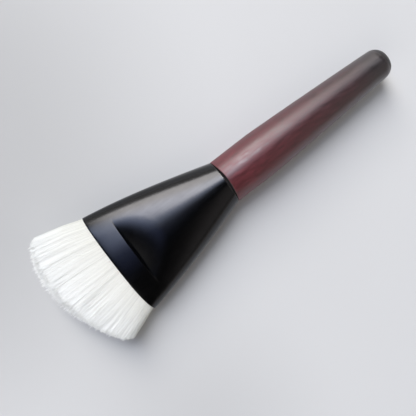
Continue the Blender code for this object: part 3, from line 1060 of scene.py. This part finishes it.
def strand_meshes(name, centres, radii, turns, tones):
    """One mesh of many strands that taper to a point."""
    count, rings = centres.shape[:2]
    angles = turns[:, None] + np.arange(STRAND_SIDES) * 2 * math.pi / STRAND_SIDES
    offsets = np.stack([np.zeros_like(angles), np.cos(angles), np.sin(angles)], axis=-1)
    bodies = centres[:, :-1, None, :] + radii[:, :-1, None, None] * offsets[:, None, :, :]
    points = np.concatenate([bodies.reshape(count, -1, 3), centres[:, -1:, :]], axis=1)
    corners = points.shape[1]
    starts = np.arange(count)[:, None] * corners
    faces = []
    for face in pointed_faces(STRAND_SIDES, rings - 1):
        faces += (starts + np.array(face)).tolist()
    piece = mesh_piece(name, points.reshape(-1, 3).tolist(), faces)
    ring_shares = np.concatenate([np.repeat(RING_SHARES[:-1], STRAND_SIDES), RING_SHARES[-1:]])
    paint(piece, "strand_share", np.tile(ring_shares, count))
    paint(piece, "strand_tone", np.repeat(tones, corners))
    return piece


def core_ring(settings, ferrule, side, face, share):
    """Ring of the tuft's solid heart at a share of its reach."""
    width, height = mouth_sizes(settings, ferrule)
    reach = strand_reach(settings, side, face) * settings.core_reach_share * share
    wide, high = squared(settings, ferrule, side, face, settings.core_reach_share * share)
    return strand_places(settings, wide * width, high * height, reach)


def make_core(settings, ferrule):
    """Solid heart of the tuft under its outer strands, so that light doesn't get lost."""
    sides = 120
    rows = 14
    dome_start = 0.93
    turn = np.arange(sides) * 2 * math.pi / sides
    side, face = oval_shares(turn, ferrule.mouth_squareness)
    steps = [(settings.core_share, row / rows * dome_start) for row in range(rows + 1)]
    for row in range(1, rows):
        bend = math.pi / 2 * row / rows
        steps.append((settings.core_share * math.cos(bend), lerp(dome_start, 1, math.sin(bend))))
    rings = [core_ring(settings, ferrule, inner * side, inner * face, share)
             for inner, share in steps]
    tip = core_ring(settings, ferrule, np.array(0.0), np.array(0.0), 1)
    points = np.concatenate([*rings, [tip]]).tolist()
    core = mesh_piece("hair_heart", points, pointed_faces(sides, len(rings)))
    paint(core, "strand_share", np.full(len(points), HEART_SHARE))
    paint(core, "strand_tone", np.full(len(points), HEART_TONE))
    core.data.shade_smooth()
    return core


class BRUSH_OT_plant_hair(bpy.types.Operator):
    """Plants the strands of the tuft over its heart"""
    bl_idname = "brush.plant_hair"
    bl_label = "Plant hair"

    def execute(self, context):
        settings = context.scene.brush_hair
        ferrule = context.scene.brush_ferrule
        draw = np.random.default_rng(settings.seed)
        finish = hair_finish(settings)
        pieces = [make_core(settings, ferrule)]
        pieces += self.make_strands(settings, ferrule, draw)
        for piece in pieces:
            finish_piece(piece, finish, "hair", "hair_tuft")
        return {"FINISHED"}

    def make_strands(self, settings, ferrule, draw):
        """Scatters the strands, lets each and each lock differ, and models them in layers."""
        count = settings.count
        locks = settings.lock_count
        width, height = mouth_sizes(settings, ferrule)
        side, face = scatter_roots(draw, settings, ferrule, count)
        lock = self.choose_locks(settings, ferrule, draw, side * width, face * height)
        lock_length = draw.normal(0, LOCK_LENGTH_SPREAD_SHARE, locks)
        lock_lean = draw.normal(0, LOCK_LEAN_SPREAD, (locks, 2))
        lock_tone = draw.normal(LOCK_TONE, LOCK_TONE_SPREAD, locks)
        lock_turn = draw.normal(0, LOCK_TURN_SPREAD, locks)
        length = draw.normal(0, LENGTH_SPREAD_SHARE, count) + lock_length[lock]
        reach = strand_reach(settings, side, face) * (1 + length) + settings.recess
        frayed = np.clip(side, 0, 1) ** 2
        looseness = 1 + STRAND_FRAY * frayed
        lean = draw.normal(0, LEAN_SPREAD, (count, 2)) * looseness[:, None]
        lean += lock_lean[lock] * (1 + LOCK_FRAY * frayed[:, None])
        strays = draw.uniform(0, 1, count) < settings.stray_share
        lean[strays] += draw.normal(0, STRAY_LEAN_SPREAD, (count, 2))[strays]
        centres = self.strand_centres(settings, ferrule, side, face, reach, lean)
        thickness = draw.uniform(THINNEST_SHARE, THICKEST_SHARE, count)
        radii = settings.strand_radius * thickness[:, None] * TAPER_SHARES
        turns = self.strand_turns(settings, ferrule, side, face) + lock_turn[lock] * looseness
        turns += draw.normal(0, TURN_SPREAD, count)
        tones = draw.normal(0, TONE_SPREAD, count) + lock_tone[lock]
        # Painted light and shade: strands of the shorter, shaded side are painted paler and those of
        # the longer, lit side darker
        tones = np.clip(tones + PAINTED_SIDE_SHADING * side * np.abs(side), 0, 1)
        layers = np.array_split(np.argsort(face), settings.layers)
        return [strand_meshes(f"hair_layer_{place + 1}", centres[chosen], radii[chosen],
                              turns[chosen], tones[chosen])
                for place, chosen in enumerate(layers)]

    def choose_locks(self, settings, ferrule, draw, root_y, root_z):
        """The lock whose middle lies nearest to each root."""
        width, height = mouth_sizes(settings, ferrule)
        side, face = scatter_roots(draw, settings, ferrule, settings.lock_count)
        middles = np.column_stack([side * width, face * height])
        tree = KDTree(len(middles))
        for index, middle in enumerate(middles):
            tree.insert((*middle, 0), index)
        tree.balance()
        return np.array([tree.find((y, z, 0))[1] for y, z in zip(root_y, root_z)])

    def strand_centres(self, settings, ferrule, side, face, reach, lean):
        """Middles of each strand's rings, which keep off the surface that the brush lies on."""
        width, height = mouth_sizes(settings, ferrule)
        centres = []
        for share in RING_SHARES:
            wide, high = squared(settings, ferrule, side, face, share)
            centre = strand_places(settings, wide * width, high * height, reach * share)
            centre[:, 1:] += lean * share ** 2
            centre[:, 2] = np.maximum(centre[:, 2], settings.strand_radius)
            centres.append(centre)
        return np.stack(centres, axis=1)

    def strand_turns(self, settings, ferrule, side, face):
        """Turns that set one flat side of each strand up or down and a little to the middle."""
        width, height = mouth_sizes(settings, ferrule)
        middle_power = (ferrule.mouth_squareness + settings.tip_squareness) / 2 - 1
        sideways = np.sign(side) * np.abs(side) ** middle_power / width
        upward = np.sign(face) * np.abs(face) ** middle_power / height
        sideways *= -settings.turn_share * (1 + TURN_SKEW_SHARE * np.sign(side))
        return np.arctan2(upward, sideways) - math.pi / STRAND_SIDES


# Binding thread
class BRUSH_OT_wind_thread(bpy.types.Operator):
    """Winds the two plies of the binding thread round the root of the bundle"""
    bl_idname = "brush.wind_thread"
    bl_label = "Wind thread"

    def execute(self, context):
        settings = context.scene.brush_thread
        route, outward, forward = self.thread_route(settings, context.scene.brush_ferrule)
        finish = thread_finish(settings)
        ply_radius = settings.diameter / 4
        twists = settings.twists_per_turn * settings.turns
        turn = np.linspace(0, 2 * math.pi * twists, len(route))
        for name, phase in (("first_ply", 0), ("second_ply", math.pi)):
            sideways = np.cos(turn + phase)[:, None] * outward
            sideways += np.sin(turn + phase)[:, None] * forward
            points = route + sideways * ply_radius
            ply = self.make_ply("binding_thread_" + name, points, ply_radius)
            finish_piece(ply, finish, "thread", "binding_thread")
        return {"FINISHED"}

    def thread_route(self, settings, ferrule):
        """Points of the winding, with the directions outward and along the brush at each."""
        radius = settings.diameter / 2
        inset = AXIS_Y + half_width(ferrule, LIP - THREAD_HIGH.x) - THREAD_HIGH.y + radius
        turn = np.linspace(0, settings.turns, settings.turns * settings.points_per_turn + 1)
        start = THREAD_HIGH.x - radius
        place = lerp(start, THREAD_LOW.x + radius, turn / settings.turns)
        side, rise = wall_places(ferrule, LIP - place, 2 * math.pi * turn)
        wide = half_width(ferrule, LIP - place)
        high = half_height(ferrule, LIP - place)
        side = side * (wide - inset) / wide
        rise = rise * (high - inset) / high
        route = np.stack([place, AXIS_Y + side, AXIS_Z + rise], axis=-1)
        along = np.gradient(route, axis=0)
        along /= np.linalg.norm(along, axis=1)[:, None]
        forward = np.array([1.0, 0, 0]) - along * along[:, :1]
        forward /= np.linalg.norm(forward, axis=1)[:, None]
        return route, np.cross(forward, along), forward

    def make_ply(self, name, points, radius):
        curve = bpy.data.curves.new(name, "CURVE")
        curve.dimensions = "3D"
        curve.bevel_depth = radius
        curve.bevel_resolution = 1
        curve.use_fill_caps = True
        spline = curve.splines.new("POLY")
        spline.points.add(len(points) - 1)
        for knot, point in zip(spline.points, points):
            knot.co = (*point, 1)
        ply = bpy.data.objects.new(name, curve)
        bpy.context.scene.collection.objects.link(ply)
        make_active(ply)
        bpy.ops.object.convert(target="MESH")
        bpy.ops.object.mode_set(mode="EDIT")
        close_mesh()
        shade(ply)
        return ply


# Adhesives
class BRUSH_OT_finish_adhesives(bpy.types.Operator):
    """Gives the hardened adhesives inside the ferrule their finish"""
    bl_idname = "brush.finish_adhesives"
    bl_label = "Finish adhesives"

    def execute(self, context):
        settings = context.scene.brush_adhesive
        finishes = {
            "root_adhesive": adhesive_finish("amber_adhesive", settings.root_colour),
            "handle_adhesive": adhesive_finish("milky_adhesive", settings.handle_colour),
        }
        for node, finish in finishes.items():
            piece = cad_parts[node]
            piece.data.materials.clear()
            piece.data.materials.append(finish)
        return {"FINISHED"}


# Stage. Pixels count from the photograph's upper left corner. The sensor is in millimetres.
SENSOR_WIDTH = 36
MOUTH_PIXEL = (118.5, 263.5)
CAMERA_PIXEL = (191.5, 207.5)
CENTRE_PIXEL = (208, 208)
# Places round which painted shade darkens the floor
PAINTED_SHADE_SIDE_PIXEL = (-120, 150)
PAINTED_SHADE_FRONT_PIXEL = (205, 440)


def image_point(settings, pixel):
    """World place, at the height of the brush's axis, of a place in the photograph."""
    half_angle = math.atan(SENSOR_WIDTH / 2 / settings.camera_lens)
    step = 2 * settings.camera_height * math.tan(half_angle) / settings.image_width
    right, up = image_directions(settings)
    across = pixel[0] - MOUTH_PIXEL[0]
    down = pixel[1] - MOUTH_PIXEL[1]
    return Vector((LIP, AXIS_Y, AXIS_Z)) + (right * across - up * down) * step


def image_directions(settings):
    """World directions of the image's right and top edges."""
    bearing = settings.brush_bearing
    right = Vector((-math.cos(bearing), math.sin(bearing), 0))
    up = Vector((-math.sin(bearing), -math.cos(bearing), 0))
    return right, up


class BRUSH_OT_set_stage(bpy.types.Operator):
    """Lays the floor, and sets the lamp, the surroundings and the camera"""
    bl_idname = "brush.set_stage"
    bl_label = "Set stage"

    def execute(self, context):
        settings = context.scene.brush_studio
        self.lay_floor(settings)
        self.hang_window(settings)
        self.surround(context, settings)
        self.set_camera(context, settings)
        context.scene.view_settings.view_transform = "Standard"
        return {"FINISHED"}

    def lay_floor(self, settings):
        deselect_all()
        bpy.ops.mesh.primitive_plane_add(size=settings.floor_size, location=(0, 0, 0))
        floor = bpy.context.object
        floor.name = "floor"
        floor.data.materials.append(floor_finish(settings))

    def hang_window(self, settings):
        light = bpy.data.lights.new("window", "AREA")
        light.shape = "RECTANGLE"
        light.size = settings.window_size[0]
        light.size_y = settings.window_size[1]
        light.energy = settings.window_power
        light.color = settings.window_colour
        window = bpy.data.objects.new("window", light)
        bpy.context.scene.collection.objects.link(window)
        window.location = settings.window_place
        window.rotation_euler.x = math.atan2(-settings.window_place[1], settings.window_place[2])

    def surround(self, context, settings):
        """Dark surroundings with pale walls, lit parts of the room and soft patches of light."""
        world = bpy.data.worlds.new("surroundings")
        context.scene.world = world
        world.use_nodes = True
        tree = world.node_tree
        where = add_node(tree, "ShaderNodeTexCoord", (-1100, 0)).outputs["Generated"]
        parts = add_node(tree, "ShaderNodeSeparateXYZ", (-900, 0))
        tree.links.new(where, parts.inputs["Vector"])
        light = opaque(settings.ceiling_colour)
        light = self.add_region(tree, parts, settings.wall_colour, light,
                                ("Y", 0.60, 0.20), ("Z", 0.30, 0.08))
        light = self.add_region(tree, parts, settings.warm_wall_colour, light,
                                ("Y", 0.20, 0.60), ("Z", 0.16, 0.04))
        light = self.add_region(tree, parts, settings.skirting_colour, light,
                                ("Y", -0.10, -0.45), ("Z", 0.50, 0.28), ("Z", 0.08, 0.28))
        light = self.add_region(tree, parts, settings.room_colour, light,
                                ("X", 0.00, -0.12), ("Y", 0.18, 0.45), ("Z", 0.12, 0.32))
        light = self.add_region(tree, parts, settings.far_colour, light,
                                ("X", 0.11, 0.19), ("X", 0.36, 0.24), ("Y", 0.30, -0.15),
                                ("Y", -0.72, -0.60))
        dusk = Vector(settings.dusk_colour) * settings.dusk_strength
        light = self.add_patch(tree, where, dusk, light, strength=1.0,
                               toward=(-0.02, -0.38, 0.925), inner=2, outer=20)
        light = self.add_patch(tree, where, dusk, light, strength=0.8,
                               toward=(0.13, -0.66, 0.74), inner=4, outer=15)
        light = self.add_patch(tree, where, dusk, light, strength=0.25,
                               toward=(0.25, -0.21, 0.945), inner=1, outer=9)
        light = self.add_patch(tree, where, settings.fill_colour, light, strength=1.0,
                               toward=(0.85, 0.42, 0.30), inner=12, outer=48)
        tree.links.new(light, tree.nodes["Background"].inputs["Color"])

    def add_region(self, tree, parts, colour, under, *fades):
        """Adds light to what is under it. Each fade is an axis of the direction, with its value
        where the light starts and its value where it is full."""
        share = 1.0
        for axis, start, full in fades:
            fade = ranged(tree, parts.outputs[axis], (-600, 0), start, full, kind="SMOOTHSTEP")
            both = add_node(tree, "ShaderNodeMath", (-400, 0), operation="MULTIPLY")
            feed(tree, both.inputs[0], share)
            feed(tree, both.inputs[1], fade)
            share = both.outputs["Value"]
        return mix_colours(tree, share, under, opaque(colour), (0, -200), "ADD")

    def add_patch(self, tree, where, colour, under, strength, toward, inner, outer):
        """Adds a round patch of light in a direction, which fades out between two angles."""
        shown = opaque(Vector(colour) * strength)
        facing = add_node(tree, "ShaderNodeVectorMath", (-700, -300), operation="DOT_PRODUCT")
        feed(tree, facing.inputs[0], where)
        feed(tree, facing.inputs[1], Vector(toward).normalized())
        share = ranged(tree, facing.outputs["Value"], (-500, -300), math.cos(math.radians(outer)),
                       math.cos(math.radians(inner)), kind="SMOOTHSTEP")
        return mix_colours(tree, share, under, shown, (0, -200), "ADD")

    def set_camera(self, context, settings):
        up = image_directions(settings)[1]
        below = image_point(settings, CAMERA_PIXEL)
        target = image_point(settings, CENTRE_PIXEL)
        camera_data = bpy.data.cameras.new("camera")
        camera_data.lens = settings.camera_lens
        camera_data.clip_start = 0.01
        camera = bpy.data.objects.new("camera", camera_data)
        context.scene.collection.objects.link(camera)
        camera.location = below + Vector((0, 0, settings.camera_height))
        back = (camera.location - target).normalized()
        side = up.cross(back).normalized()
        turned = Matrix((side, back.cross(side), back)).transposed()
        camera.rotation_euler = turned.to_euler()
        context.scene.camera = camera


class BRUSH_PT_panel(bpy.types.Panel):
    """Lists the steps that make the brush"""
    bl_idname = "BRUSH_PT_panel"
    bl_label = "Foundation brush"
    bl_space_type = "VIEW_3D"
    bl_region_type = "UI"
    bl_category = "Brush"

    def draw(self, context):
        for step in STEPS:
            self.layout.operator(step.bl_idname)
        for group in SETTINGS:
            self.layout.label(text=group.replace("_", " "))
            for name in SETTINGS[group].__annotations__:
                self.layout.prop(getattr(context.scene, group), name)


STEPS = (
    BRUSH_OT_set_stage,
    BRUSH_OT_turn_handle,
    BRUSH_OT_press_ferrule,
    BRUSH_OT_plant_hair,
    BRUSH_OT_wind_thread,
    BRUSH_OT_finish_adhesives,
)
SETTINGS = {
    "brush_handle": HandleSettings,
    "brush_ferrule": FerruleSettings,
    "brush_hair": HairSettings,
    "brush_thread": ThreadSettings,
    "brush_adhesive": AdhesiveSettings,
    "brush_studio": StudioSettings,
}


def register():
    for name, group in SETTINGS.items():
        bpy.utils.register_class(group)
        setattr(bpy.types.Scene, name, PointerProperty(type=group))
    for step in STEPS:
        bpy.utils.register_class(step)
    bpy.utils.register_class(BRUSH_PT_panel)


def unregister():
    bpy.utils.unregister_class(BRUSH_PT_panel)
    for step in reversed(STEPS):
        bpy.utils.unregister_class(step)
    for name, group in SETTINGS.items():
        delattr(bpy.types.Scene, name)
        bpy.utils.unregister_class(group)


def main():
    register()
    bpy.ops.brush.set_stage()
    bpy.ops.brush.turn_handle()
    bpy.ops.brush.press_ferrule()
    bpy.ops.brush.plant_hair()
    bpy.ops.brush.wind_thread()
    bpy.ops.brush.finish_adhesives()


if __name__ == "__main__":
    main()
